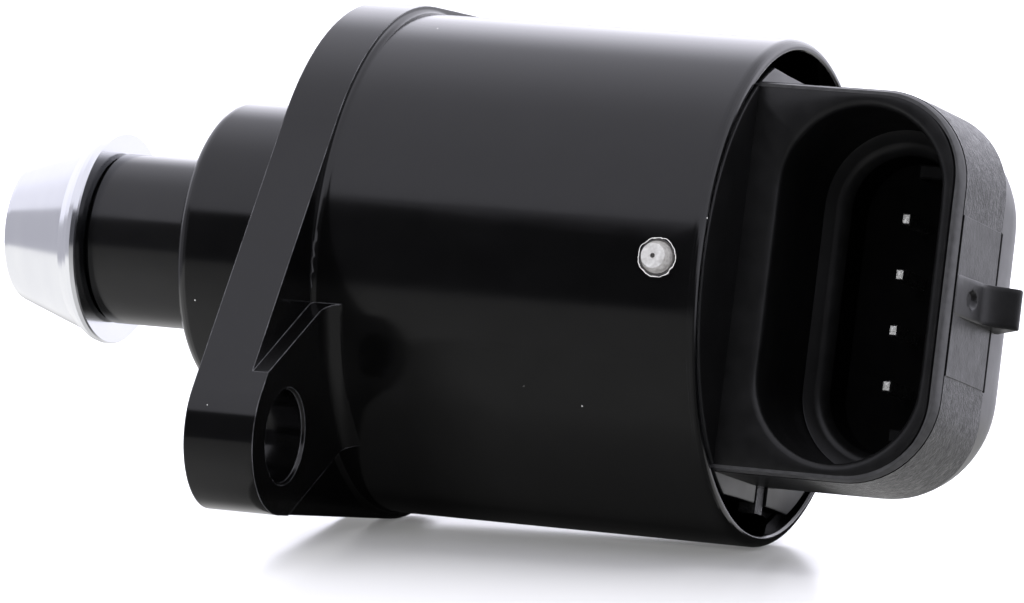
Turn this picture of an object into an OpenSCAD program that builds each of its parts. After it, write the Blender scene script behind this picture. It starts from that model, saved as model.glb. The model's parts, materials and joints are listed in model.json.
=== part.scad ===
// Idle air control valve, stepper driven, with a two-hole flange and a side
// facing four-pin socket. Valve axis along X, origin at the centre of the
// flange's mounting face. The nose and the valve cone point to -X, the end cap
// to +X, and +Z is up as the valve lies on a bench.

/* [Housing] */
// Outer diameter of the motor can
can_d = 36.5; // [36:0.1:37.5]
// Wall of the can at its open end
can_wall = 0.85; // [0.7:0.05:0.95]
// Length from the mounting face to the open rim of the can
can_len = 32.9; // [32.5:0.1:34]
// Diameter of the nose that enters the throttle body
nose_d = 21.6; // [20.5:0.1:23]
// Length of the nose ahead of the mounting face
nose_len = 10.2; // [9.6:0.1:10.5]
// Radius of the rolled front edge of the nose
nose_round = 0.9; // [0.4:0.1:1.2]

/* [Flange] */
// Thickness of the flange plate
flange_t = 4.05; // [3.5:0.05:4.5]
// Diameter of the round middle of the flange
flange_d = 37.6; // [37.4:0.1:40]
// Distance between the two screw holes
hole_pitch = 53.2; // [52:0.1:56]
// Diameter of each screw hole
hole_d = 6.5; // [5.5:0.1:6.8]
// Radius of the rounded ear end
ear_r = 5.55; // [5:0.05:6.2]
// Height of the raised pad round each screw hole
pad_h = 1.2; // [0.4:0.1:2]
// Half width of the raised pads, across the ear
pad_half = 5.7; // [5.4:0.05:5.9]
// Angle of the near ear below the horizontal, in degrees
ear_tilt = 22.5; // [10:0.5:35]

/* [Valve] */
// Diameter of the plunger tube
plunger_d = 12.64; // [12:0.02:12.66]
// Distance from the mounting face to the back of the valve cone
cone_back = 19.6; // [19.4:0.1:20.5]
// Largest diameter of the valve cone
cone_d = 15.76; // [14:0.02:17]
// Diameter of the cone at its tip
cone_tip_d = 10.6; // [8:0.1:11.5]
// Length of the valve cone
cone_len = 7.2; // [6:0.1:9]
// Diameter of the lead screw
screw_d = 4.0; // [3.6:0.1:4.04]

/* [Connector] */
// Angle that the socket faces above the horizontal, in degrees
socket_tilt = 12.6; // [0:0.1:25]
// Distance from the valve axis to the mouth of the socket
mouth_y = 9.9; // [9.4:0.1:10.4]
// Length of the connector block past the rim of the can
block_len = 15.75; // [15.4:0.05:17]
// Half height of the connector block
block_half = 13.9; // [13.7:0.05:14.2]
// Half width of the rounded socket opening
mouth_r = 5.9; // [5.5:0.05:6]
// Half height of the socket opening
mouth_half = 12.55; // [12.2:0.05:12.7]
// Depth of the wide part of the socket
step_depth = 10.1; // [8.5:0.1:10.4]
// Spacing of the four contact pins
pin_pitch = 4.0; // [3.5:0.05:4.1]

/* [Hidden] */
$fn = 96;

can_r = can_d / 2;
bore_r = can_r - can_wall;         // inside of the can
nose_r = nose_d / 2;
plun_r = plunger_d / 2;
run = 0.05;                        // radial running clearance
bush_r = 7.95;                     // outside of the guide bushing
seal_r = 8.4;                      // outside of the wiper seal
floor_x = 6.5;                     // inside face of the can's end wall
seat_x = 6.0;                      // front face of the ball bearing
race_r = 8.0;                      // outside of the ball bearing
race_w = 5.0;                      // width of the ball bearing
boss_x = seat_x + race_w;          // end of the bearing boss
ball_r = 1.45;
ball_pcr = 5.3;
ball_n = 8;
stk_x = boss_x;                    // front of the stator stack
stk_w = 7.7;                       // length of one stator
gap = 0.35;                        // air gap
mag_r = 8.6;                       // outside of the magnet
claw_r = mag_r + gap;              // inside of the claw poles
claw_t = 0.6;
plate_t = 0.8;
claw_n = 10;
cap_x = stk_x + 2 * stk_w + 0.1;   // inner face of the end cap
face_x = can_len - 0.16;           // outer face of the cap disc
cap_r = bore_r - 0.03;             // full disc in the can
cap_flat = 15.2;                   // flats of the cap, and of the gaps beside them
rim_round = can_wall - 0.15;       // rounded outer edge of the can's rim
cap_step_r = bore_r - 0.7;         // outer step of the cap
cap_step_x = can_len - 1.7;
ring_x = cap_x + 0.4;              // seal ring groove
pin_x = can_len - 3.1;             // fixing pins
pin_at = [12, 142, -118];          // their angles above -Y
sock_x = can_len + 8.1;            // middle of the socket
pins_x = can_len + 8.74;           // row of contact pins
rear_y = -7.2;                     // back of the connector block
block_x1 = can_len + block_len;
corner_r = 6.5;                    // outer corners of the block
rear_r = 7.4;                      // its corners behind the groove
ledge = 1.8;                       // width of the ledge in the socket
pocket_y = -4.4;                   // floor of the pin pocket
pin_tip_y = 0.9;
pin_w = 0.64;
pin_h = 0.8;
bush_x = cap_x + 0.9;              // rear bush
hub_r = 4.2;
shaft_r = 2.5;
tail_r = 1.5;
nut_r = 4.6;
fil_pad = 1.2;                     // fillet between pad and can
fil_can = 0.4;                     // fillet between flange and can

// turn a shape made along Z so that it lies along X
module along_x() { rotate([0, 90, 0]) children(); }
// extrude a drawing made in Y and Z along X, from x0 to x1
module slab(x0, x1) { translate([x0, 0, 0]) rotate([90, 0, 90]) linear_extrude(x1 - x0) children(); }
// extrude a drawing made in X and Z away from the axis towards -Y, from y0 to y1
module out_y(y0, y1) { rotate([90, 0, 0]) translate([0, 0, y0]) linear_extrude(y1 - y0) children(); }
// revolve a profile of [radius, x] points about the valve axis
module turned(pts) { along_x() rotate_extrude() polygon(pts); }
module tube(x0, x1, ro, ri) { turned([[ri, x0], [ro, x0], [ro, x1], [ri, x1]]); }
module rod(x0, x1, r) { translate([x0, 0, 0]) along_x() cylinder(h = x1 - x0, r = r); }
// turn a piece made facing -Y to an angle above the horizontal
module facing(a) { rotate([-a, 0, 0]) children(); }
// quarter ring fillet in the corner between a face at x0 and a cylinder r
module corner_fillet(x0, r, f) {
  along_x() rotate_extrude() difference() {
    translate([r - 0.02, x0 - 0.02]) square([f + 0.02, f + 0.02]);
    translate([r + f, x0 + f]) circle(r = f, $fn = 64);
  }
}

function dirs(a) = [-cos(a), sin(a)];
// outline of half the flange: the straight edges that join the round middle
// and one ear, facing -Y
module ear_outline(rc, re, d) {
  b = acos((rc - re) / d);
  union() {
    translate([-d, 0]) circle(r = re);
    polygon([[0, 0], [-rc * cos(b), rc * sin(b)], [-d - re * cos(b), re * sin(b)],
             [-d, 0], [-d - re * cos(b), -re * sin(b)], [-rc * cos(b), -rc * sin(b)]]);
  }
}

module housing() {
  color([0.16, 0.16, 0.17]) difference() {
    union() {
      // flange plate with two ears, and the raised pads behind them
      slab(0, flange_t) union() {
        circle(r = flange_d / 2, $fn = 128);
        for (k = [0, 180]) rotate(k + ear_tilt) ear_outline(flange_d / 2, ear_r, hole_pitch / 2);
      }
      for (k = [0, 180]) facing(-ear_tilt + k) slab(flange_t - 0.5, flange_t + pad_h) intersection() {
        ear_outline(flange_d / 2, ear_r, hole_pitch / 2);
        translate([-hole_pitch / 2 - 8, -pad_half]) square([hole_pitch / 2 + 3, 2 * pad_half]);
      }
      // fillets where the flange and the pads meet the can
      corner_fillet(flange_t, can_r, fil_can);
      for (k = [0, 180]) intersection() {
        corner_fillet(flange_t + pad_h, can_r, fil_pad);
        facing(-ear_tilt + k) translate([flange_t, -can_r - 3, -pad_half]) cube([6, can_r, 2 * pad_half]);
      }
      // can, end wall and nose turned as one
      turned([[0, -nose_len], [nose_r - nose_round, -nose_len],
        for (i = [0:6]) [nose_r - nose_round + nose_round * sin(i * 15), -nose_len + nose_round - nose_round * cos(i * 15)],
        [nose_r, 0], [can_r, 0],
        for (i = [0:6]) [can_r - rim_round + rim_round * cos(i * 15), can_len - rim_round + rim_round * sin(i * 15)],
        [bore_r + 0.12, can_len], [bore_r, can_len - 0.15], [bore_r, floor_x + 0.8], [bore_r - 0.8, floor_x],
        [10, floor_x], [10, boss_x], [0, boss_x]]);
    }
    // one stepped bore through the nose and the bearing boss
    rod(-nose_len - 1, -nose_len + 0.9, plun_r + 0.35);
    rod(-nose_len + 0.2, -7.2, seal_r);
    rod(-7.3, seat_x, bush_r);
    rod(seat_x - 0.01, boss_x + 1, race_r);
    // screw holes with a small break on the back edge
    for (k = [0, 180]) facing(-ear_tilt + k) translate([0, -hole_pitch / 2, 0]) {
      rod(-1, 12, hole_d / 2);
      along_x() translate([0, 0, flange_t + pad_h - 0.2]) cylinder(h = 0.25, r1 = hole_d / 2, r2 = hole_d / 2 + 0.25);
      along_x() translate([0, 0, -0.05]) cylinder(h = 0.25, r1 = hole_d / 2 + 0.25, r2 = hole_d / 2);
    }
    // cross holes for the fixing pins
    for (a = pin_at) facing(a) translate([pin_x, -bore_r + 3, 0]) rotate([90, 0, 0]) cylinder(h = 8, r = 1.25, $fn = 48);
  }
}

// sintered sleeve that guides the plunger; two slots stop the plunger turning
module guide_bushing() {
  color([0.62, 0.45, 0.26]) difference() {
    rod(-7.2, seat_x, bush_r);
    rod(-8, seat_x + 1, plun_r + run);
    for (k = [90, -90]) facing(k) translate([-6.3, -7.3, -1.6]) cube([seat_x + 7, 6, 3.2]);
  }
}

module wiper_seal() {
  color([0.08, 0.08, 0.08]) turned([[plun_r + 0.03, -nose_len + 0.95], [plun_r + 0.6, -nose_len + 0.95],
    [plun_r + 0.9, -8.3], [seal_r - 0.5, -8.3], [seal_r - 0.5, -nose_len + 0.95], [seal_r, -nose_len + 0.95],
    [seal_r, -7.2], [plun_r + 0.5, -7.2], [plun_r + 0.03, -8.0]]);
}

module bearing_outer_race() {
  color([0.75, 0.76, 0.78]) along_x() rotate_extrude() difference() {
    translate([6.3, seat_x]) square([race_r - 6.3, race_w]);
    translate([ball_pcr, seat_x + race_w / 2]) circle(r = ball_r + 0.04, $fn = 64);
  }
}
module bearing_inner_race() {
  color([0.75, 0.76, 0.78]) along_x() rotate_extrude() difference() {
    translate([shaft_r, seat_x]) square([4.3 - shaft_r, race_w]);
    translate([ball_pcr, seat_x + race_w / 2]) circle(r = ball_r + 0.04, $fn = 64);
  }
}
module bearing_balls() {
  color([0.85, 0.86, 0.88]) for (i = [0:ball_n - 1])
    rotate([i * 360 / ball_n, 0, 0]) translate([seat_x + race_w / 2, 0, ball_pcr]) sphere(r = ball_r, $fn = 48);
}
module bearing_cage() {
  color([0.7, 0.6, 0.35]) difference() {
    tube(seat_x + 0.5, seat_x + race_w - 0.5, 5.75, 4.85);
    for (i = [0:ball_n - 1]) rotate([i * 360 / ball_n, 0, 0])
      translate([seat_x + race_w / 2, 0, ball_pcr]) sphere(r = ball_r + 0.06, $fn = 48);
  }
}

// one ring of claw poles: teeth folded along the rotor from an end plate
module claws(x0, x1, turn) {
  intersection() {
    tube(x0, x1, claw_r + claw_t, claw_r);
    slab(x0, x1) for (i = [0:claw_n - 1]) rotate(turn + i * 360 / claw_n)
      polygon([[0, 0], [14, -14 * tan(6)], [14, 14 * tan(6)]]);
  }
}
module stator_cup(x0, turn) {
  color([0.55, 0.56, 0.58]) union() {
    tube(x0, x0 + plate_t, bore_r - 0.1, claw_r);
    tube(x0, x0 + stk_w - plate_t, bore_r - 0.1, bore_r - 0.9);
    claws(x0 + plate_t / 2, x0 + stk_w - 1.2, turn);
  }
}
module stator_inner(x0, turn) {
  color([0.6, 0.61, 0.63]) union() {
    tube(x0 + stk_w - plate_t, x0 + stk_w, bore_r - 0.1, claw_r);
    claws(x0 + 1.2, x0 + stk_w - plate_t / 2, turn + 180 / claw_n);
  }
}
module stator_bobbin(x0) {
  color([0.85, 0.83, 0.76]) turned([[claw_r + claw_t + 0.1, x0 + plate_t], [16.1, x0 + plate_t],
    [16.1, x0 + plate_t + 0.6], [10.4, x0 + plate_t + 0.6], [10.4, x0 + stk_w - plate_t - 0.6],
    [16.1, x0 + stk_w - plate_t - 0.6], [16.1, x0 + stk_w - plate_t], [claw_r + claw_t + 0.1, x0 + stk_w - plate_t]]);
}
module stator_winding(x0) {
  color([0.72, 0.38, 0.18]) tube(x0 + plate_t + 0.6, x0 + stk_w - plate_t - 0.6, 15.5, 10.4);
}
module stator_a_cup() stator_cup(stk_x, 0);
module stator_a_inner_plate() stator_inner(stk_x, 0);
module stator_a_bobbin() stator_bobbin(stk_x);
module stator_a_winding() stator_winding(stk_x);
module stator_b_cup() stator_cup(stk_x + stk_w, 9);
module stator_b_inner_plate() stator_inner(stk_x + stk_w, 9);
module stator_b_bobbin() stator_bobbin(stk_x + stk_w);
module stator_b_winding() stator_winding(stk_x + stk_w);

// shaft with the lead screw in front and a tail journal behind
module lead_screw() {
  color([0.7, 0.71, 0.74]) turned([[0, -9.3], [screw_d / 2 - 0.4, -9.3], [screw_d / 2, -8.9], [screw_d / 2, seat_x - 0.6],
    [shaft_r, seat_x - 0.6], [shaft_r, boss_x], [3.4, boss_x], [3.4, boss_x + 0.8], [shaft_r, boss_x + 0.8],
    [shaft_r, cap_x - 0.6], [tail_r, cap_x - 0.6], [tail_r, bush_x + 2.6], [0, bush_x + 2.6]]);
}
module rotor_hub() {
  color([0.2, 0.22, 0.25]) tube(boss_x + 0.8, cap_x - 1.1, hub_r, shaft_r);
}
module magnet_ring() {
  color([0.22, 0.21, 0.21]) tube(boss_x + 1.4, cap_x - 1.6, mag_r, hub_r);
}
module preload_washer() {
  color([0.8, 0.8, 0.82]) turned([[tail_r + 0.25, cap_x - 0.55], [2.9, cap_x + 0.3], [2.9, cap_x + 0.6], [tail_r + 0.25, cap_x - 0.25]]);
}
module rear_bush() {
  color([0.66, 0.5, 0.3]) tube(cap_x + 0.6, bush_x + 2.6, 3.0, tail_r + run);
}

// end cap: a disc that closes the can, and the connector block on it
module block_outline(dw, r = corner_r) {
  x0 = can_len - 0.5;
  translate([x0, -(block_half - dw)]) square([block_len + 0.5 - dw - r, 2 * (block_half - dw)]);
  translate([x0, -(block_half - dw) + r]) square([block_len + 0.5 - dw, 2 * (block_half - dw - r)]);
  for (s = [-1, 1]) translate([block_x1 - dw - r, s * (block_half - dw - r)]) circle(r = r, $fn = 64);
}
module slot_outline(hw, hh) {
  translate([sock_x - hw, -(hh - hw)]) square([2 * hw, 2 * (hh - hw)]);
  for (s = [-1, 1]) translate([sock_x, s * (hh - hw)]) circle(r = hw, $fn = 64);
}
// latch ramp on the end face, drawn in X and -Y and extruded along Z
module latch() {
  translate([block_x1, 0, -1.45]) linear_extrude(2.9)
    polygon([[-0.6, -9.3], [0.05, -9.3], [0.22, -6.2], [0.4, -4.2], [0.7, -3.3], [1.2, -2.75], [2.2, -2.35], [2.62, -2.15],
             [2.67, -1.8], [0.4, 1.4], [-0.6, 1.6]]);
}
module end_cap() {
  color([0.2, 0.2, 0.21]) union() {
    end_cap_body();
    facing(socket_tilt) {
      // rib in the notch at the bottom of the cap
      translate([face_x - 1.3, 0.45, -cap_flat - 0.6]) cube([1.1, 1.5, 2.5]);
      // two keys on the ledge of the socket
      for (z = [9.1, -9.9]) translate([can_len + 8.95, step_depth - mouth_y, z]) cube([2.85, 2.2, 1]);
    }
  }
}
module end_cap_body() {
  difference() {
    union() {
      // disc in the can, with a smaller outer step cut by two flats
      rod(cap_x, cap_step_x, cap_r);
      intersection() {
        turned([[0, cap_step_x - 0.5], [cap_step_r, cap_step_x - 0.5], [cap_step_r, face_x - 0.15], [cap_step_r - 0.15, face_x], [0, face_x]]);
        facing(socket_tilt) translate([cap_step_x - 1, -20, -cap_flat]) cube([5, 40, 2 * cap_flat]);
      }
      facing(socket_tilt) {
        // connector block: textured front part, a fine groove, rounded back
        out_y(0.25, mouth_y - 0.75) block_outline(0, corner_r - 0.3);
        hull() {
          out_y(mouth_y - 1.3, mouth_y - 0.8) block_outline(0);
          out_y(mouth_y - 0.8, mouth_y - 0.25) block_outline(0.25);
          out_y(mouth_y - 0.8, mouth_y) block_outline(0.75);
        }
        out_y(0, 0.3) block_outline(0.25, corner_r + 0.3);
        hull() {
          out_y(-0.6, 0.05) block_outline(0.05, corner_r + 0.5);
          out_y(-3.6, 0.05) block_outline(0.15, rear_r);
          out_y(-5.9, -3) block_outline(1.1, rear_r);
          out_y(rear_y, -5) block_outline(3.2, rear_r);
        }
        latch();
      }
    }
    facing(socket_tilt) {
      // socket: wide mouth, ledge and a deeper pocket for the pins
      out_y(mouth_y - step_depth, mouth_y + 1) slot_outline(mouth_r, mouth_half);
      out_y(pocket_y, mouth_y) slot_outline(mouth_r - ledge, mouth_half - ledge);
      // locating notch in the lower flat
      translate([face_x - 1.3, -0.5, -cap_flat - 1]) cube([3, 2.65, 2.7]);
      // deep gaps between the flats and the can
      for (s = [0, 1]) mirror([0, 0, s]) translate([can_len - 4.3, -20, cap_flat]) cube([3, 40, 5]);
      // small dimple in the latch
      translate([block_x1 - 0.1, -6.1, 0]) rotate([0, 90, 0]) cylinder(h = 2, r = 0.6, $fn = 32);
    }
    // seal ring groove, bush seat and pin holes
    tube(ring_x, ring_x + 1.3, cap_r + 1, bore_r - 1.07);
    rod(cap_x - 1, cap_x + 0.6, 4.0);
    rod(cap_x - 1, bush_x + 2.8, 3.0);
    for (a = pin_at) facing(a) translate([pin_x, -cap_r + 3.1, 0]) rotate([90, 0, 0]) cylinder(h = 8, r = 1.25, $fn = 48);
    // rooms for the contact strips
    for (i = [0:3]) facing(socket_tilt) strip_room(i);
  }
}
function pin_z(i) = (i - 1.5) * pin_pitch;
// contact strip: pin in the socket, bent along the axis into the can
module strip(i) {
  z = pin_z(i);
  translate([pins_x - pin_w / 2, -pin_tip_y + 0.35, z - pin_h / 2]) cube([pin_w, pin_tip_y - 0.35 - (pocket_y - 1.3), pin_h]);
  translate([pins_x - pin_w / 2 + 0.12, -pin_tip_y, z - pin_h / 2 + 0.12]) cube([pin_w - 0.24, 1, pin_h - 0.24]);
  translate([cap_x, -pocket_y + 0.66, z - pin_h / 2]) cube([pins_x - cap_x + pin_w / 2, pin_w, pin_h]);
}
module strip_room(i) {
  z = pin_z(i);
  translate([pins_x - pin_w / 2, -pin_tip_y, z - pin_h / 2]) cube([pin_w, pin_tip_y - (pocket_y - 1.3), pin_h]);
  translate([cap_x - 1, -pocket_y + 0.66, z - pin_h / 2]) cube([pins_x - cap_x + 1 + pin_w / 2, pin_w, pin_h]);
}
module terminal(i) { color([0.8, 0.8, 0.78]) facing(socket_tilt) strip(i); }
module terminal_1() terminal(3);
module terminal_2() terminal(2);
module terminal_3() terminal(1);
module terminal_4() terminal(0);

module cap_seal_ring() {
  color([0.1, 0.1, 0.1]) along_x() rotate_extrude() translate([bore_r - 0.52, ring_x + 0.65]) circle(r = 0.5, $fn = 48);
}

// three headless pins through the can wall into the end cap
module fixing_pins() {
  color([0.8, 0.8, 0.8]) for (a = pin_at) facing(a) translate([pin_x, 0, 0]) rotate([90, 0, 0]) difference() {
    union() {
      translate([0, 0, cap_r - 3.1]) cylinder(h = can_r - cap_r + 3.1, r = 1.25, $fn = 48);
      translate([0, 0, can_r - 0.01]) cylinder(h = 0.55, r1 = 1.2, r2 = 0.84, $fn = 48);
    }
    translate([0, 0, can_r + 0.35]) cylinder(h = 1, r = 0.16, $fn = 24);
  }
}

module plunger_tube() {
  color([0.1, 0.1, 0.11]) difference() {
    union() {
      turned([[0, -cone_back + 0.12], [plun_r - 0.25, -cone_back + 0.12], [plun_r, -cone_back + 0.37], [plun_r, -3], [0, -3]]);
      for (k = [90, -90]) facing(k) translate([-5, -7.2, -1.5]) cube([2, 3, 3]);
    }
    rod(-8, -2, nut_r);
    rod(-17.6, -7.9, 3.4);
    rod(-cone_back - 1, -17, 2.0);
  }
}
module plunger_nut() {
  color([0.78, 0.62, 0.3]) tube(-8, -3, nut_r, screw_d / 2 + run);
}
// turned valve cone with a spigot pressed in the plunger
module valve_cone() {
  r0 = cone_d / 2;
  rt = cone_tip_d / 2;
  color([0.88, 0.88, 0.9]) difference() {
    turned([[0, -cone_back - cone_len], [rt - 0.5, -cone_back - cone_len], [rt - 0.15, -cone_back - cone_len + 0.12], [rt, -cone_back - cone_len + 0.45],
      [r0 - 0.75, -cone_back - 1.75], [r0 - 0.35, -cone_back - 1.2], [r0 - 0.1, -cone_back - 0.8], [r0, -cone_back - 0.45],
      [r0, -cone_back - 0.1], [r0 - 0.1, -cone_back], [plun_r - 0.9, -cone_back], [plun_r - 0.9, -cone_back + 0.12], [2.0, -cone_back + 0.12],
      [2.0, -17.8], [0, -17.8]]);
    translate([-cone_back - cone_len - 0.01, 0, 0]) along_x() cylinder(h = 1, r1 = 1.2, r2 = 0.3);
  }
}

housing();
guide_bushing();
wiper_seal();
bearing_outer_race();
bearing_inner_race();
bearing_balls();
bearing_cage();
stator_a_cup();
stator_a_inner_plate();
stator_a_bobbin();
stator_a_winding();
stator_b_cup();
stator_b_inner_plate();
stator_b_bobbin();
stator_b_winding();
lead_screw();
rotor_hub();
magnet_ring();
preload_washer();
rear_bush();
end_cap();
terminal_1();
terminal_2();
terminal_3();
terminal_4();
cap_seal_ring();
fixing_pins();
plunger_tube();
plunger_nut();
valve_cone();
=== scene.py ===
import json
import math

import bmesh
import bpy
from mathutils import Matrix, Vector


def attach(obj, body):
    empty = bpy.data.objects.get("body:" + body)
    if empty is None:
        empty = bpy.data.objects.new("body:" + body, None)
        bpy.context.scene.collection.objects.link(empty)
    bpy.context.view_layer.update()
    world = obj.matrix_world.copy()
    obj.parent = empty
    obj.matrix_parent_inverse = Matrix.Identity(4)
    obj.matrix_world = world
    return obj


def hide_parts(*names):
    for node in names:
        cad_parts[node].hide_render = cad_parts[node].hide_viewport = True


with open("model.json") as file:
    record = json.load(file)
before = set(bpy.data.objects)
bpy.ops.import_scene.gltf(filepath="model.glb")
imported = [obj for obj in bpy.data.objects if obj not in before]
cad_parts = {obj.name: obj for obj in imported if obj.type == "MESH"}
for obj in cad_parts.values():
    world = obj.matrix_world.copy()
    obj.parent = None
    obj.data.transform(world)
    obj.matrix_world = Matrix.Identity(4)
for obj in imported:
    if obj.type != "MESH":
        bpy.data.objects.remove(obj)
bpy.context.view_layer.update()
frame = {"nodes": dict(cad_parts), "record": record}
nodes = frame["nodes"]
scene = bpy.context.scene
MM = 0.001

# ---------------------------------------------------------------- camera
cam_data = bpy.data.cameras.new("camera")
cam = bpy.data.objects.new("camera", cam_data)
scene.collection.objects.link(cam)
cam_data.sensor_fit = "HORIZONTAL"
cam_data.sensor_width = 36.0
cam_data.lens = 230.9
cam_data.clip_start = 0.01
cam_data.clip_end = 20.0
right = Vector((0.9255, 0.37627, 0.04277)).normalized()
back = Vector((0.3703, -0.92279, 0.10650)).normalized()
up = back.cross(right).normalized()
right = up.cross(back).normalized()
m = Matrix((right, up, back)).transposed().to_4x4()
m.translation = Vector((0.18891, -0.44086, 0.04867))
cam.matrix_world = m
scene.camera = cam
scene.view_settings.view_transform = "Standard"
scene.view_settings.look = "None"


# ---------------------------------------------------------------- materials
def new_mat(name):
    mat = bpy.data.materials.new(name)
    mat.use_nodes = True
    nt = mat.node_tree
    bsdf = nt.nodes["Principled BSDF"]
    tc = nt.nodes.new("ShaderNodeTexCoord")
    return mat, nt, bsdf, tc.outputs["Object"]


def noise(nt, vec, scale, detail=4.0, rough=0.55):
    n = nt.nodes.new("ShaderNodeTexNoise")
    n.inputs["Scale"].default_value = scale
    n.inputs["Detail"].default_value = detail
    n.inputs["Roughness"].default_value = rough
    nt.links.new(vec, n.inputs["Vector"])
    return n.outputs["Fac"]


def ramp(nt, fac, stops):
    r = nt.nodes.new("ShaderNodeValToRGB")
    el = r.color_ramp.elements
    while len(el) < len(stops):
        el.new(0.5)
    for e, (pos, col) in zip(el, stops):
        e.position = pos
        e.color = (*col, 1.0) if isinstance(col, tuple) else (col, col, col, 1.0)
    nt.links.new(fac, r.inputs["Fac"])
    return r.outputs["Color"]


def stretch(nt, vec, scale):
    mp = nt.nodes.new("ShaderNodeMapping")
    mp.inputs["Scale"].default_value = scale
    nt.links.new(vec, mp.inputs["Vector"])
    return mp.outputs["Vector"]


def math_node(nt, op, a, b=None):
    n = nt.nodes.new("ShaderNodeMath")
    n.operation = op
    for i, v in enumerate((a, b)):
        if v is None:
            continue
        if isinstance(v, (int, float)):
            n.inputs[i].default_value = v
        else:
            nt.links.new(v, n.inputs[i])
    return n.outputs[0]


def mix_col(nt, fac, a, b):
    n = nt.nodes.new("ShaderNodeMix")
    n.data_type = "RGBA"
    nt.links.new(fac, n.inputs["Factor"])
    for key, v in ((6, a), (7, b)):
        if isinstance(v, tuple):
            n.inputs[key].default_value = (*v, 1.0)
        else:
            nt.links.new(v, n.inputs[key])
    return n.outputs[2]


def specks(nt, vec, scale, size, share):
    """white where a dust speck lies: small cells of a Voronoi pattern, only some of them kept"""
    v = nt.nodes.new("ShaderNodeTexVoronoi")
    v.inputs["Scale"].default_value = scale
    v.inputs["Randomness"].default_value = 1.0
    nt.links.new(vec, v.inputs["Vector"])
    near = math_node(nt, "LESS_THAN", v.outputs["Distance"], size)
    sep = nt.nodes.new("ShaderNodeSeparateColor")
    nt.links.new(v.outputs["Color"], sep.inputs[0])
    keep = math_node(nt, "LESS_THAN", sep.outputs[0], share)
    return math_node(nt, "MULTIPLY", near, keep)


def edge_normal(nt, radius):
    """normal rounded near edges, and how strongly it differs from the flat one"""
    bev = nt.nodes.new("ShaderNodeBevel")
    bev.samples = 6
    bev.inputs["Radius"].default_value = radius * MM
    geo = nt.nodes.new("ShaderNodeNewGeometry")
    dot = nt.nodes.new("ShaderNodeVectorMath")
    dot.operation = "DOT_PRODUCT"
    nt.links.new(bev.outputs["Normal"], dot.inputs[0])
    nt.links.new(geo.outputs["Normal"], dot.inputs[1])
    mr = nt.nodes.new("ShaderNodeMapRange")
    mr.inputs["From Min"].default_value = 0.992
    mr.inputs["From Max"].default_value = 0.90
    nt.links.new(dot.outputs["Value"], mr.inputs["Value"])
    return bev.outputs["Normal"], mr.outputs[0]


def pin_rings(nt, vec, angles):
    """white on a thin broken ring of bare metal around each fixing pin of the can"""
    sep3 = nt.nodes.new("ShaderNodeSeparateXYZ")
    nt.links.new(vec, sep3.inputs[0])
    x, y, z = sep3.outputs
    wob = math_node(nt, "MULTIPLY", math_node(nt, "SUBTRACT", noise(nt, vec, 1600.0, 2.0), 0.5), 0.00036)
    dx = math_node(nt, "SUBTRACT", x, 0.0298)
    total = None
    for ang in angles:
        ca, sa = math.cos(math.radians(ang)), math.sin(math.radians(ang))
        across = math_node(nt, "ADD", math_node(nt, "MULTIPLY", y, sa), math_node(nt, "MULTIPLY", z, ca))
        along = math_node(nt, "SUBTRACT", math_node(nt, "MULTIPLY", z, sa), math_node(nt, "MULTIPLY", y, ca))
        d = math_node(nt, "SQRT", math_node(nt, "ADD", math_node(nt, "MULTIPLY", dx, dx), math_node(nt, "MULTIPLY", across, across)))
        d = math_node(nt, "ADD", d, wob)
        ring = math_node(nt, "MULTIPLY", math_node(nt, "GREATER_THAN", d, 0.001345), math_node(nt, "LESS_THAN", d, 0.001415))
        ring = math_node(nt, "MULTIPLY", ring, math_node(nt, "GREATER_THAN", along, 0.0175))
        total = ring if total is None else math_node(nt, "MAXIMUM", total, ring)
    return total


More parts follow.
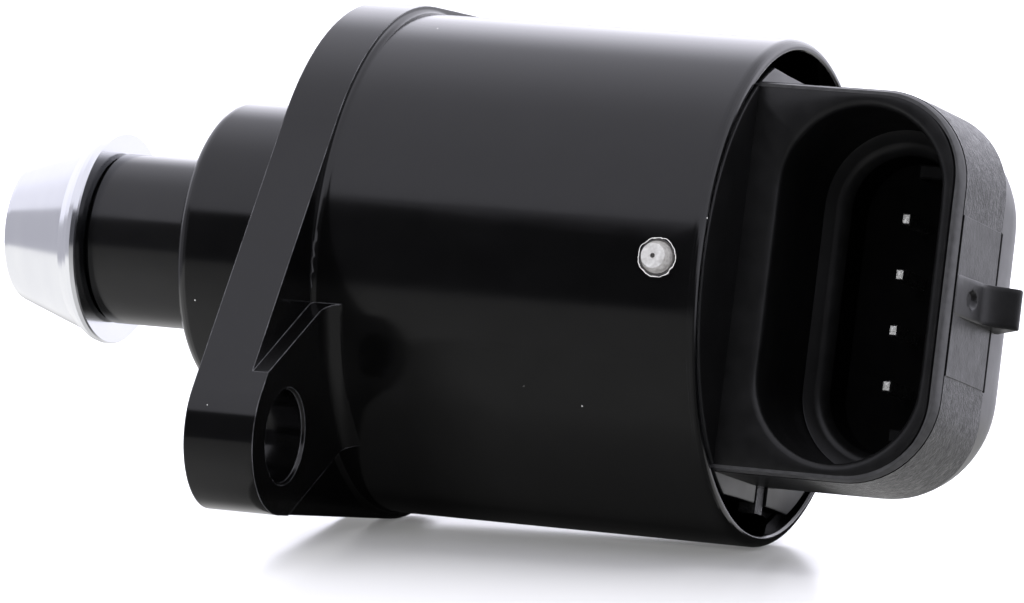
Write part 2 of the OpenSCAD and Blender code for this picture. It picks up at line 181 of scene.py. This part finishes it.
def surface(name, lo, hi, rough=(0.2, 0.3), metal=0.0, spec=0.5, scale=900.0, bumps=((900.0, 0.02),), dust=0.0,
            dust_share=0.10, grain=None, coat=0.0, coat_rough=0.1, edge=0.0, rubbed_edge_and_highlight=None, pins=()):
    """lo and hi are the two ends of the colour; bumps is a list of (noise scale, strength in mm);
    edge rounds the normal near edges (mm) and the edge colour given is partly a rubbed edge and partly a painted
    highlight along the edge"""
    mat, nt, bsdf, vec = new_mat(name)
    vv = stretch(nt, vec, grain) if grain else vec
    f = noise(nt, vv, scale, 5.0)
    col = ramp(nt, f, [(0.3, lo), (0.7, hi)])
    rgh = ramp(nt, noise(nt, vv, scale * 0.37, 6.0, 0.65), [(0.3, rough[0]), (0.7, rough[1])])
    if dust:
        mask = specks(nt, vec, 700.0, dust, dust_share)
        col = mix_col(nt, mask, col, (0.55, 0.55, 0.53))
    round_n = None
    if edge:
        round_n, edge_wear_and_highlight = edge_normal(nt, edge)
        # light colour near edges: partly real rubbed coating, partly a painted highlight
        if rubbed_edge_and_highlight:
            patchy = ramp(nt, noise(nt, vec, 900.0, 3.0), [(0.35, 0.25), (0.6, 1.0)])
            edge_wear_and_highlight = math_node(nt, "MULTIPLY", edge_wear_and_highlight, patchy)
            col = mix_col(nt, edge_wear_and_highlight, col, rubbed_edge_and_highlight)
    if pins:
        col = mix_col(nt, pin_rings(nt, vec, pins), col, (0.62, 0.61, 0.60))
    nt.links.new(col, bsdf.inputs["Base Color"])
    nt.links.new(rgh, bsdf.inputs["Roughness"])
    bsdf.inputs["Metallic"].default_value = metal
    bsdf.inputs["Specular IOR Level"].default_value = spec
    if coat:
        bsdf.inputs["Coat Weight"].default_value = coat
        bsdf.inputs["Coat Roughness"].default_value = coat_rough
    height = None
    for s, amp in bumps:
        h = math_node(nt, "MULTIPLY", noise(nt, vv, s, 3.0), amp * MM)
        height = h if height is None else math_node(nt, "ADD", height, h)
    b = nt.nodes.new("ShaderNodeBump")
    b.inputs["Strength"].default_value = 1.0
    b.inputs["Distance"].default_value = 1.0
    nt.links.new(height, b.inputs["Height"])
    if round_n is not None:
        nt.links.new(round_n, b.inputs["Normal"])
    nt.links.new(b.outputs["Normal"], bsdf.inputs["Normal"])
    return mat


def grey(v):
    return (v, v, v * 1.04)


MAT = {
    # the light edge colour of the coating is partly rubbed paint and partly a painted highlight along the edges
    "black_coating": surface("black_coating", grey(0.0010), grey(0.0018), (0.10, 0.16), 0.0, 0.5, 400.0,
                             ((260.0, 0.0014), (2200.0, 0.0003)), dust=0.045, dust_share=0.08, edge=0.12, rubbed_edge_and_highlight=(0.13, 0.13, 0.14),
                             pins=(12.0, 142.0, -118.0)),
    "cone_metal": surface("cone_metal", (0.735, 0.745, 0.775), (0.765, 0.775, 0.80), (0.14, 0.18), 1.0, 0.5, 200.0,
                          ((300.0, 0.0002),), grain=(4.0, 1.0, 1.0)),
    "plunger_black": surface("plunger_black", grey(0.002), grey(0.004), (0.14, 0.20), 0.0, 0.56, 300.0,
                             ((400.0, 0.001), (2500.0, 0.0004))),
    "connector_black": surface("connector_black", grey(0.010), grey(0.018), (0.42, 0.52), 0.0, 0.5, 1500.0,
                               ((6500.0, 0.010), (2200.0, 0.006)), dust=0.05, dust_share=0.03),
    "cap_smooth": surface("cap_smooth", grey(0.008), grey(0.014), (0.30, 0.38), 0.0, 0.58, 900.0,
                          ((900.0, 0.002), (5000.0, 0.0015)), dust=0.04, dust_share=0.03, edge=0.06),
    "cap_front": surface("cap_front", grey(0.003), grey(0.006), (0.30, 0.38), 0.0, 0.38, 900.0,
                         ((900.0, 0.002), (4200.0, 0.0045)), dust=0.045, dust_share=0.06),
    # lighter copy of the cap plastic for the rounded lip of the socket: painted highlight
    "cap_lip_highlight": surface("cap_lip_highlight", grey(0.020), grey(0.040), (0.34, 0.46), 0.0, 1.0, 1800.0, ((2600.0, 0.006),), dust=0.04, dust_share=0.04),
    "cap_panel": surface("cap_panel", grey(0.008), grey(0.020), (0.34, 0.46), 0.0, 0.40, 1800.0, ((3000.0, 0.020), (6000.0, 0.008)),
                         dust=0.04, dust_share=0.03),
    "cap_grain": surface("cap_grain", grey(0.002), grey(0.036), (0.30, 0.52), 0.0, 0.46, 4200.0,
                         ((3600.0, 0.085), (8000.0, 0.045)), dust=0.04, dust_share=0.03),
    # darker copy of the cap plastic for the inside of the socket, the keys and the face beside the block: painted
    # shade
    "cap_inside_shade": surface("cap_inside_shade", grey(0.002), grey(0.0035), (0.30, 0.42), 0.0, 0.36, 900.0, ((1500.0, 0.002),)),
    # near-black copy of the cap plastic for the gaps, grooves, pocket and undersides: black plastic darkened further
    # as painted shade
    "cap_black_and_shade": surface("cap_black_and_shade", grey(0.0005), grey(0.001), (0.30, 0.42), 0.0, 0.10, 900.0, ((900.0, 0.002),)),
    "tin_plate": surface("tin_plate", (0.72, 0.72, 0.70), (0.88, 0.88, 0.86), (0.2, 0.4), 1.0, 0.5, 4000.0, ((4000.0, 0.01),)),
    "pin_point": surface("pin_point", (0.62, 0.62, 0.61), (1.0, 1.0, 0.99), (0.30, 0.45), 0.45, 0.8, 4500.0, ((4500.0, 0.09),)),
    "pin_steel": surface("pin_steel", (0.42, 0.41, 0.40), (0.66, 0.66, 0.65), (0.30, 0.45), 0.28, 0.5, 2600.0, ((3000.0, 0.05),)),
    "pin_flank": surface("pin_flank", (0.30, 0.29, 0.27), (0.52, 0.51, 0.49), (0.35, 0.5), 0.28, 0.5, 4200.0, ((4200.0, 0.10),)),
    "sintered_bronze": surface("sintered_bronze", (0.30, 0.20, 0.10), (0.55, 0.40, 0.22), (0.45, 0.6), 0.9, 0.5, 3000.0, ((4000.0, 0.02),)),
    "seal_rubber": surface("seal_rubber", grey(0.010), grey(0.02), (0.5, 0.65), 0.0, 0.4, 900.0, ((1500.0, 0.01),)),
    "bearing_steel": surface("bearing_steel", (0.60, 0.61, 0.64), (0.72, 0.73, 0.76), (0.1, 0.18), 1.0, 0.5, 900.0, ((2000.0, 0.001),), grain=(8.0, 1.0, 1.0)),
    "cage_brass": surface("cage_brass", (0.62, 0.46, 0.20), (0.78, 0.62, 0.32), (0.22, 0.35), 1.0, 0.5, 900.0, ((1200.0, 0.003),)),
    "stator_steel": surface("stator_steel", (0.40, 0.41, 0.43), (0.58, 0.58, 0.60), (0.3, 0.42), 1.0, 0.5, 700.0, ((900.0, 0.004),)),
    "bobbin_plastic": surface("bobbin_plastic", (0.72, 0.68, 0.56), (0.82, 0.79, 0.70), (0.4, 0.5), 0.0, 0.5, 400.0, ((1200.0, 0.003),)),
    "copper_winding": surface("copper_winding", (0.42, 0.16, 0.06), (0.78, 0.36, 0.16), (0.22, 0.3), 0.9, 0.5, 300.0, ((300.0, 0.05),), grain=(14.0, 0.6, 0.6)),
    "screw_steel": surface("screw_steel", (0.55, 0.56, 0.58), (0.70, 0.71, 0.74), (0.2, 0.3), 1.0, 0.5, 600.0, ((800.0, 0.01),), grain=(10.0, 1.0, 1.0)),
    "hub_plastic": surface("hub_plastic", (0.09, 0.10, 0.12), (0.14, 0.15, 0.17), (0.4, 0.5), 0.0, 0.5, 600.0, ((1500.0, 0.004),)),
    "ferrite": surface("ferrite", (0.05, 0.048, 0.047), (0.10, 0.095, 0.09), (0.45, 0.6), 0.2, 0.5, 1200.0, ((2000.0, 0.01),)),
    "spring_steel": surface("spring_steel", (0.50, 0.50, 0.52), (0.66, 0.66, 0.68), (0.2, 0.3), 1.0, 0.5, 900.0, ((1500.0, 0.002),)),
    "nut_brass": surface("nut_brass", (0.62, 0.47, 0.20), (0.80, 0.64, 0.33), (0.2, 0.32), 1.0, 0.5, 700.0, ((1200.0, 0.003),), grain=(8.0, 1.0, 1.0)),
}

for sp in frame["record"]["subparts"]:
    o = nodes[sp["node"]]
    o.data.materials.clear()
    o.data.materials.append(MAT[sp["material_slot"]])


# ---------------------------------------------------------------- end cap
PSI = math.radians(12.6)
RIM = 32.9


def loc(xr, nu, w):
    """xr past the rim of the can, nu out of the socket and w up it, in mm"""
    return Vector((RIM + xr, -nu * math.cos(PSI) + w * math.sin(PSI), nu * math.sin(PSI) + w * math.cos(PSI))) * MM


class Shell:
    def __init__(self):
        self.v, self.f, self.m = [], [], []

    def loop(self, pts):
        k = len(self.v)
        self.v += [loc(*p) for p in pts]
        return list(range(k, k + len(pts)))

    def bridge(self, a, b, mat=0, closed=True):
        n = len(a)
        for i in range(n if closed else n - 1):
            j = (i + 1) % n
            self.f.append((a[i], a[j], b[j], b[i]))
            self.m.append(mat(i) if callable(mat) else mat)

    def face(self, a, mat=0):
        self.f.append(tuple(a))
        self.m.append(mat)

    def tube(self, loops, mats, first=None, last=None):
        """join loops one after the other; mats has one entry less"""
        ids = [self.loop(p) for p in loops]
        for a, b, mt in zip(ids, ids[1:], mats):
            self.bridge(a, b, mt)
        if first is not None:
            self.face(reversed(ids[0]), first)
        if last is not None:
            self.face(ids[-1], last)


def solid(name, shells, mats, smooth=35.0):
    me = bpy.data.meshes.new(name)
    v, f, mi = [], [], []
    for sh in shells:
        k = len(v)
        v += sh.v
        f += [tuple(i + k for i in q) for q in sh.f]
        mi += sh.m
    me.from_pydata(v, [], f)
    for mt in mats:
        me.materials.append(MAT[mt])
    me.polygons.foreach_set("material_index", mi)
    me.polygons.foreach_set("use_smooth", [True] * len(f))
    bm = bmesh.new()
    bm.from_mesh(me)
    bmesh.ops.remove_doubles(bm, verts=bm.verts, dist=1e-7)
    bmesh.ops.dissolve_degenerate(bm, edges=bm.edges, dist=1e-7)
    bmesh.ops.recalc_face_normals(bm, faces=bm.faces)
    bm.to_mesh(me)
    bm.free()
    me.set_sharp_from_angle(angle=math.radians(smooth))
    o = bpy.data.objects.new(name, me)
    scene.collection.objects.link(o)
    return o


SIDE = (-5.86, -5.76, -4.5, -3.0, -1.5, 0.0, 1.5, 3.0, 4.5, 5.56, 5.66)
NB, NA, NL = 24, 18, 24
X0 = -0.5


def outline(x1, h, r):
    """rounded block seen from the front, (xr, w), the same number of points for every size"""
    k = min(1.0, (h - r - 0.05) / 5.9)
    p = [(X0 + (x1 - r - X0) * i / NB, -h) for i in range(NB)]
    p += [(x1 - r + r * math.sin(a), -h + r - r * math.cos(a)) for a in (math.pi / 2 * i / NA for i in range(NA + 1))]
    p += [(x1, w * k) for w in SIDE]
    p += [(x1 - r + r * math.cos(a), h - r + r * math.sin(a)) for a in (math.pi / 2 * i / NA for i in range(NA + 1))]
    p += [(x1 - r - (x1 - r - X0) * i / NB, h) for i in range(1, NB)]
    p += [(X0, h - 2 * h * i / NL) for i in range(NL)]
    return p


S0 = NB + NA + 1                     # first point of the straight side
PANEL = range(S0 + 1, S0 + len(SIDE) - 1)
B1, BH, BR = 15.75, 13.9, 6.5


def at(nu, inset, r, nu_side=None):
    """loop of the block at height nu; nu_side holds for the middle of the end face"""
    q = outline(B1 - inset, BH - inset, r)
    return [(x, nu_side if nu_side is not None and i in PANEL else nu, w) for i, (x, w) in enumerate(q)]


INNER = outline(15.02, 13.57, 5.9)


def mouth(nu, hw):
    out = []
    for x, w in INNER:
        c = max(-6.65, min(6.65, w))
        d = Vector((x - 8.1, w - c)).normalized()
        out.append((8.1 + hw * d.x, nu, c + hw * d.y))
    return out


block = Shell()
rear = [(-7.2, 4.2, 7.2), (-7.14, 3.4, 7.3), (-6.9, 2.5, 7.4), (-6.5, 1.75, 7.4), (-5.8, 1.05, 7.4), (-5.0, 0.60, 7.4),
        (-4.2, 0.36, 7.4), (-3.4, 0.22, 7.4), (-2.4, 0.14, 7.3), (-1.2, 0.11, 7.1), (-0.6, 0.10, 7.0)]
loops = [at(*q) for q in rear]
mats = [1] * (len(rear) - 1)
loops += [at(-0.06, 0.10, 6.9, -0.42), at(-0.02, 0.16, 6.8, -0.37), at(0.0, 0.60, 6.5, -0.35), at(0.12, 0.60, 6.3, 0.36),
          at(0.14, 0.08, 6.1, 0.38), at(0.18, 0.0, 6.0, 0.44)]
mats += [1, 1, 3, 3, 3, 1]


def side_mat(i):
    """smooth near the can, textured further out"""
    return 1 if i < 17 or S0 + len(SIDE) + NA + 1 + 6 <= i < S0 + len(SIDE) + NA + NB else 0


loops += [at(3.0, 0.0, 6.15), at(6.2, 0.0, 6.3), at(9.28, 0.03, BR)]
mats += [side_mat, side_mat, side_mat]
# fine parting line, then the rounded lip
loops += [at(9.295, 0.10, BR), at(9.34, 0.11, BR), at(9.36, 0.07, BR), at(9.40, 0.09, 6.45), at(9.52, 0.15, 6.42), at(9.66, 0.235, 6.4),
          at(9.78, 0.32, 6.35), at(9.86, 0.40, 6.3), at(9.895, 0.47, 6.25)]
mats += [3, 3, 4, 4, 4, 4, 4, 4, 4]


def inner(nu, grow):
    return [(x, nu, w) for x, w in outline(15.02 + grow, 13.57 + grow * 0.45, 5.9 + grow * 0.6)]


loops += [inner(9.895, 0.20), inner(9.85, 0.0), inner(9.76, -0.05), inner(9.76, -0.12), inner(9.85, -0.17), inner(9.88, -0.28)]
mats += [4, 4, 3, 3, 5, 5]
loops += [mouth(9.88, 6.45), mouth(9.84, 6.25), mouth(9.74, 6.09), mouth(9.58, 5.98), mouth(9.3, 5.94)]
mats += [5, 5, 5, 5, 5]
# long wall, ledge with a wide rounded inner edge, pocket
loops += [mouth(6.0, 5.92), mouth(0.02, 5.88), mouth(-0.15, 5.84), mouth(-0.2, 5.76), mouth(-0.2, 5.0), mouth(-0.23, 4.85), mouth(-0.32, 4.66),
          mouth(-0.50, 4.44), mouth(-0.80, 4.25), mouth(-1.20, 4.13), mouth(-1.8, 4.08), mouth(-4.4, 4.02)]
mats += [2, 2, 2, 2, 2, 5, 5, 5, 5, 5, 3, 3]
block.tube(loops, mats, first=1, last=3)


# disc with two flats and a locating notch
CUT = 15.2


def disc_outline(r):
    a0 = math.acos(CUT / 16.7)
    p = []
    n = 60
    for i in range(n + 1):                      # socket side, from the lower flat to the upper one
        t = -math.pi / 2 + a0 + (math.pi - 2 * a0) * i / n
        p.append((r * math.cos(t), r * math.sin(t)))
    p += [(k, CUT) for k in (4.0, 0.0, -4.0)]
    for i in range(n + 1):
        t = math.pi / 2 + a0 + (math.pi - 2 * a0) * i / n
        p.append((r * math.cos(t), r * math.sin(t)))
    p += [(-4.0, -CUT), (-2.15, -CUT), (-2.15, -13.5), (0.50, -13.5), (0.50, -CUT), (4.0, -CUT)]
    return p


def full(x, r):
    out = []
    for nu, w in disc_outline(16.7):
        d = Vector((nu, w)).normalized() * r
        out.append((x, d.x, d.y))
    return out


def flat(x, r, inset=0.0):
    k = 1.0 - inset / 16.0
    return [(x, nu * k, w * k) for nu, w in disc_outline(r)]


disc = Shell()
disc.tube([full(-6.35, 17.3), full(-4.3, 17.36), flat(-4.3, 17.2), flat(-1.75, 17.2), flat(-1.7, 16.75), flat(-0.36, 16.75),
           flat(-0.21, 16.75, 0.05), flat(-0.165, 16.75, 0.16)], [3, 3, 3, 3, 3, 1, 1], first=3)
front = list(range(len(disc.v) - len(disc_outline(16.7)), len(disc.v)))
seg = [k for k, (nu, w) in enumerate(disc_outline(16.7)) if nu > 9.0]
disc.face([front[k] for k in seg], 2)
disc.face([front[seg[-1]]] + front[seg[-1] + 1:] + front[:seg[0] + 1], 1)

# rib in the notch
rib = Shell()
rib.tube([[(x, nu, w) for nu, w in ((-1.95, -15.8), (-0.45, -15.8), (-0.45, -13.2), (-1.95, -13.2))] for x in (-1.6, -0.36)], [0], first=3, last=0)

# smooth raised panel on the end face
pan = Shell()


def plate(x, g):
    q = [(9.27 - g, -5.74 + g), (9.27 - g, 5.54 - g), (0.46 + g, 5.54 - g), (0.46 + g, -5.74 + g)]
    return [(x, nu, w) for nu, w in q]


pan.tube([plate(15.5, 0.0), plate(15.785, 0.0), plate(15.81, 0.03)], [3, 6], first=3, last=6)

# latch: a ramp that ends in a nose, with a dimple
lat = Shell()
ramp_pts = [(9.1, 0.07), (8.0, 0.12), (7.0, 0.21), (6.1, 0.31), (5.2, 0.40), (4.4, 0.48), (3.9, 0.62), (3.5, 0.86), (3.15, 1.22), (2.85, 1.66),
            (2.6, 2.1), (2.42, 2.40), (2.25, 2.56), (2.02, 2.62)]


def ramp_x(nu):
    for (a, xa), (b, xb) in zip(ramp_pts, ramp_pts[1:]):
        if a >= nu >= b:
            return xa + (xb - xa) * (a - nu) / (a - b)
    return ramp_pts[-1][1]


nus = [9.1 - 0.16 * i for i in range(29)] + [4.4, 4.15, 3.9, 3.7, 3.5, 3.32, 3.15, 3.0, 2.85, 2.72, 2.6, 2.5, 2.42, 2.33, 2.25, 2.13, 2.02]
ws = (-1.45, -1.42, -1.34, -1.1, -0.85, -0.68, -0.56, -0.44, -0.3, -0.15, 0.0, 0.15, 0.3, 0.44, 0.56, 0.68, 0.85, 1.1, 1.34, 1.42, 1.45)
rows = []
for w in ws:
    g = {1.45: 0.10, 1.42: 0.04}.get(abs(w), 0.0)
    row = []
    for nu in nus:
        x = B1 + ramp_x(nu) - g
        d = math.hypot((nu - 6.1) / 0.78, w / 0.6)
        if d < 1.0:
            x -= 0.42 * (1.0 - d * d) ** 0.6
        row.append((x, nu, w))
    row += [(B1 + 2.58 - g, 1.80 + g, w), (B1 + 2.38 - g, 1.55 + g, w), (B1 + 0.5 - g, -0.9 + g, w), (B1 + 0.15, -1.35 + g, w), (15.2, -1.4 + g, w),
            (15.2, 9.1, w)]
    rows.append(row)
lat.tube(rows, [5] * (len(ws) - 1), first=3, last=5)

# key blocks on the ledge of the socket
keys = []
for s, k0, k1 in ((-1, 8.9, 9.9), (1, 9.1, 10.1)):
    key = Shell()
    key.tube([[(x, nu, s * w) for x, w in ((8.95 + g, k0 + g), (11.8 - g, k0 + g), (11.8 - g, k1 - g), (8.95 + g, k1 - g))]
              for nu, g in ((-2.4, 0.0), (-0.35, 0.0), (-0.2, 0.12))], [2, 2], first=2, last=2)
    keys.append(key)

# material 3 darkens the gaps, grooves, pocket and the latch's underside as painted shade; 2 darkens the socket's inner
# wall, the keys and the face beside the block as painted shade; 4 lightens the rounded lip as a painted highlight
cap_obj = solid("cap_moulding", [block, disc, rib, pan, lat] + keys, ["cap_grain", "cap_smooth", "cap_inside_shade", "cap_black_and_shade", "cap_lip_highlight", "cap_front", "cap_panel"])
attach(cap_obj, "housing")
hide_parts("end_cap")

# contact strips: square pin with a chamfered point, bent back into the can
for i in range(4):
    z = (1.5 - i) * 4.0
    pin = Shell()

    def sq(nu, a, b):
        return [(8.74 + x * a, nu, z + w * b) for x, w in ((-1, -1), (1, -1), (1, 1), (-1, 1))]
    pin.tube([sq(-5.65, 0.32, 0.40), sq(0.64, 0.32, 0.40), sq(0.74, 0.24, 0.31), sq(0.89, 0.05, 0.06)], [0, 0, 1], first=0, last=1)
    bar = Shell()
    bar.tube([[(x, nu, z + w) for nu, w in ((-5.69, -0.40), (-5.07, -0.40), (-5.07, 0.40), (-5.69, 0.40))] for x in (-6.38, 9.04)], [0], first=0, last=0)
    t = solid("contact_%d" % (i + 1), [pin, bar], ["tin_plate", "pin_point"], 12.0)
    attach(t, "housing")
    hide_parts("terminal_%d" % (i + 1))

# fixing pins: a plain shank and a tapered head with a centre dot
heads = Shell()
PIN_PROF = ((1.25, 14.3), (1.25, 18.19), (1.14, 18.19), (1.11, 18.45), (0.88, 19.10), (0.84, 19.15), (0.17, 19.15), (0.15, 19.10), (0.10, 19.0))
for ang in (12.0, 142.0, -118.0):
    ca, sa = math.cos(math.radians(ang)), math.sin(math.radians(ang))
    out, across = Vector((0.0, -ca, sa)), Vector((0.0, sa, ca))
    rings = []
    for r, h in PIN_PROF:
        k = len(heads.v)
        for i in range(48):
            q = 2 * math.pi * i / 48
            heads.v.append((Vector((29.8 + r * math.cos(q), 0.0, 0.0)) + out * h + across * (r * math.sin(q))) * MM)
        rings.append(list(range(k, k + 48)))
    # the centre dot and the step where the shank meets the can take the dark ferrite colour: painted shade in these
    # small recesses
    for one, two, mt in zip(rings, rings[1:], (1, 2, 1, 1, 0, 0, 2, 2)):
        heads.bridge(one, two, mt)
    heads.face(reversed(rings[0]), 1)
    heads.face(rings[-1], 2)
pin_obj = solid("pin_heads", [heads], ["pin_steel", "pin_flank", "ferrite"], 30.0)
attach(pin_obj, "housing")
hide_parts("fixing_pins")


# ---------------------------------------------------------------- floor and light
def floor_z(x):
    return -0.0188 + (x - 0.00405) * 0.01907


fm = bpy.data.meshes.new("floor")
fm.from_pydata([(x, y, floor_z(x) - 0.00002) for x, y in ((-3, -3), (3, -3), (3, 3), (-3, 3))], [], [(0, 1, 2, 3)])
floor = bpy.data.objects.new("floor", fm)
scene.collection.objects.link(floor)
fmat, fnt, fb, fvec = new_mat("floor_white")
fnt.links.new(ramp(fnt, noise(fnt, fvec, 3.0), [(0.3, 0.90), (0.7, 0.93)]), fb.inputs["Base Color"])
fb.inputs["Emission Color"].default_value = (1.0, 1.0, 1.0, 1.0)
fb.inputs["Emission Strength"].default_value = 0.12
fb.inputs["Roughness"].default_value = 0.17
fb.inputs["Specular IOR Level"].default_value = 0.30
fm.materials.append(fmat)
floor.visible_glossy = False

# painted reflection of shade: a hidden glowing card just under the floor, seen only by glossy rays, standing in for
# the shaded bench under the can
km = bpy.data.meshes.new("painted_bench_shade")
SHADE = ((0.0024, 0.060), (0.0024, -0.025), (0.0020, -0.033), (-0.0004, -0.040), (-0.0018, -0.048), (0.036, -0.048), (0.036, 0.060))
km.from_pydata([(x, y, floor_z(x) - 0.0001) for x, y in SHADE], [], [tuple(range(len(SHADE)))])
card = bpy.data.objects.new("painted_bench_shade", km)
scene.collection.objects.link(card)
kmat, knt, kb, kvec = new_mat("painted_bench_shade")
knt.links.new(ramp(knt, noise(knt, kvec, 60.0), [(0.3, 0.001), (0.7, 0.003)]), kb.inputs["Base Color"])
ksep = knt.nodes.new("ShaderNodeSeparateXYZ")
knt.links.new(kvec, ksep.inputs[0])


def kmap(value, lo, hi, to_lo, to_hi):
    mr = knt.nodes.new("ShaderNodeMapRange")
    for key, v in (("From Min", lo), ("From Max", hi), ("To Min", to_lo), ("To Max", to_hi)):
        mr.inputs[key].default_value = v
    knt.links.new(value, mr.inputs["Value"])
    return mr.outputs[0]


# painted shade on the card: its glow is lighter away from the flange and away from the can
edge_x = math_node(knt, "ADD", kmap(ksep.outputs["Y"], -0.0527, -0.0227, -0.0037, 0.0052), kmap(ksep.outputs["Y"], -0.0227, -0.0027, 0.0, 0.0024))
off = math_node(knt, "SUBTRACT", ksep.outputs["X"], edge_x)
off = math_node(knt, "MULTIPLY", off, kmap(ksep.outputs["Y"], -0.042, -0.022, 2.0, 1.0))
shade = math_node(knt, "MULTIPLY", kmap(off, 0.001, 0.008, 0.14, 0.34), kmap(ksep.outputs["Y"], -0.024, -0.006, 0.82, 0.06))
shade = math_node(knt, "MULTIPLY", shade, kmap(ksep.outputs["Y"], -0.030, -0.017, 1.22, 1.0))
knt.links.new(shade, kb.inputs["Emission Color"])
kb.inputs["Emission Strength"].default_value = 1.0
kb.inputs["Specular IOR Level"].default_value = 0.0
km.materials.append(kmat)
card.visible_camera = False
card.visible_diffuse = False
card.visible_shadow = False

world = bpy.data.worlds.new("world")
scene.world = world
world.use_nodes = True
wt = world.node_tree
bg = wt.nodes["Background"]
wtc = wt.nodes.new("ShaderNodeTexCoord")
sep = wt.nodes.new("ShaderNodeSeparateXYZ")
wt.links.new(wtc.outputs["Generated"], sep.inputs[0])
a = math.radians(33.5)


def step(value, lo, hi, to_lo=0.0, to_hi=1.0, smooth=True):
    mr = wt.nodes.new("ShaderNodeMapRange")
    mr.interpolation_type = "SMOOTHSTEP" if smooth else "LINEAR"
    mr.inputs["From Min"].default_value = lo
    mr.inputs["From Max"].default_value = hi
    mr.inputs["To Min"].default_value = to_lo
    mr.inputs["To Max"].default_value = to_hi
    wt.links.new(value, mr.inputs["Value"])
    return mr.outputs[0]


def blend(fac, p, q):
    """p where fac is 0 and q where it is 1"""
    inv = math_node(wt, "SUBTRACT", 1.0, fac)
    return math_node(wt, "ADD", math_node(wt, "MULTIPLY", p, inv), math_node(wt, "MULTIPLY", q, fac))


DX, DY, DZ = sep.outputs["X"], sep.outputs["Y"], sep.outputs["Z"]
# to the left the dark zone between box and bench is wider
left = step(DX, -0.52, -0.78)
s1 = math_node(wt, "ADD", math_node(wt, "MULTIPLY", DZ, math.cos(a)), math_node(wt, "MULTIPLY", DY, math.sin(a)))
s1 = math_node(wt, "SUBTRACT", s1, math_node(wt, "MULTIPLY", left, 0.15))
# large soft box over and behind the part, down to just under the horizon, brighter at the back
box = math_node(wt, "MULTIPLY", step(s1, -0.03, 0.03), step(DZ, -0.30, -0.12))
far = math_node(wt, "MULTIPLY", math_node(wt, "MULTIPLY", step(DY, 0.55, 0.82), step(DZ, 0.02, 0.22)), step(DX, -0.72, -0.5))
white = math_node(wt, "ADD", math_node(wt, "MULTIPLY", step(DY, -0.1, 0.35), 0.22), 1.05)
white = math_node(wt, "ADD", math_node(wt, "MULTIPLY", far, 1.1), white)
# dark front of the room, lighter to the left
dark = math_node(wt, "ADD", step(DX, -0.38, -0.44, 0.045, 0.10), step(DX, -0.45, -0.90, 0.0, 0.47))
# light from the bench below
near = step(DY, -0.5, 0.1, 0.33, 0.12)
away = step(DX, 0.0, 0.40, 0.95, 0.85)
low = blend(step(DY, 0.35, 0.75), near, away)
low = blend(step(DX, -0.39, -0.43), low, step(DZ, -0.10, -0.65, 0.36, 0.84, False))
low = blend(step(DX, -0.45, -0.65), low, 1.13)
z2 = math_node(wt, "ADD", DZ, math_node(wt, "MULTIPLY", left, 0.15))
base = blend(step(z2, -0.06, -0.13), dark, low)
tot = blend(box, base, white)
# the soft box is a little blue, the bench nearly neutral
bench = math_node(wt, "MULTIPLY", step(z2, -0.06, -0.13), math_node(wt, "SUBTRACT", 1.0, box))
tint = mix_col(wt, bench, (0.99, 0.985, 1.095), (1.0, 0.995, 1.0))
vm = wt.nodes.new("ShaderNodeVectorMath")
vm.operation = "SCALE"
wt.links.new(tint, vm.inputs[0])
wt.links.new(tot, vm.inputs["Scale"])
wt.links.new(vm.outputs["Vector"], bg.inputs["Color"])
bg.inputs["Strength"].default_value = 1.0

ld = bpy.data.lights.new("top_soft", "AREA")
ld.shape = "RECTANGLE"
ld.size = 1.2
ld.size_y = 1.0
ld.energy = 7.0
lo = bpy.data.objects.new("top_soft", ld)
lo.location = (0.0, 0.25, 0.9)
lo.rotation_euler = (math.radians(-12), 0, 0)
lo.visible_glossy = False
scene.collection.objects.link(lo)

fd = bpy.data.lights.new("front_fill", "AREA")
fd.shape = "DISK"
fd.size = 0.35
fd.energy = 6.0
fo = bpy.data.objects.new("front_fill", fd)
fo.location = (0.05, -0.98, 0.26)
fo.rotation_euler = (Vector((0.0, 0.0, 0.0)) - Vector(fo.location)).to_track_quat("-Z", "Y").to_euler()
fo.visible_glossy = False
scene.collection.objects.link(fo)
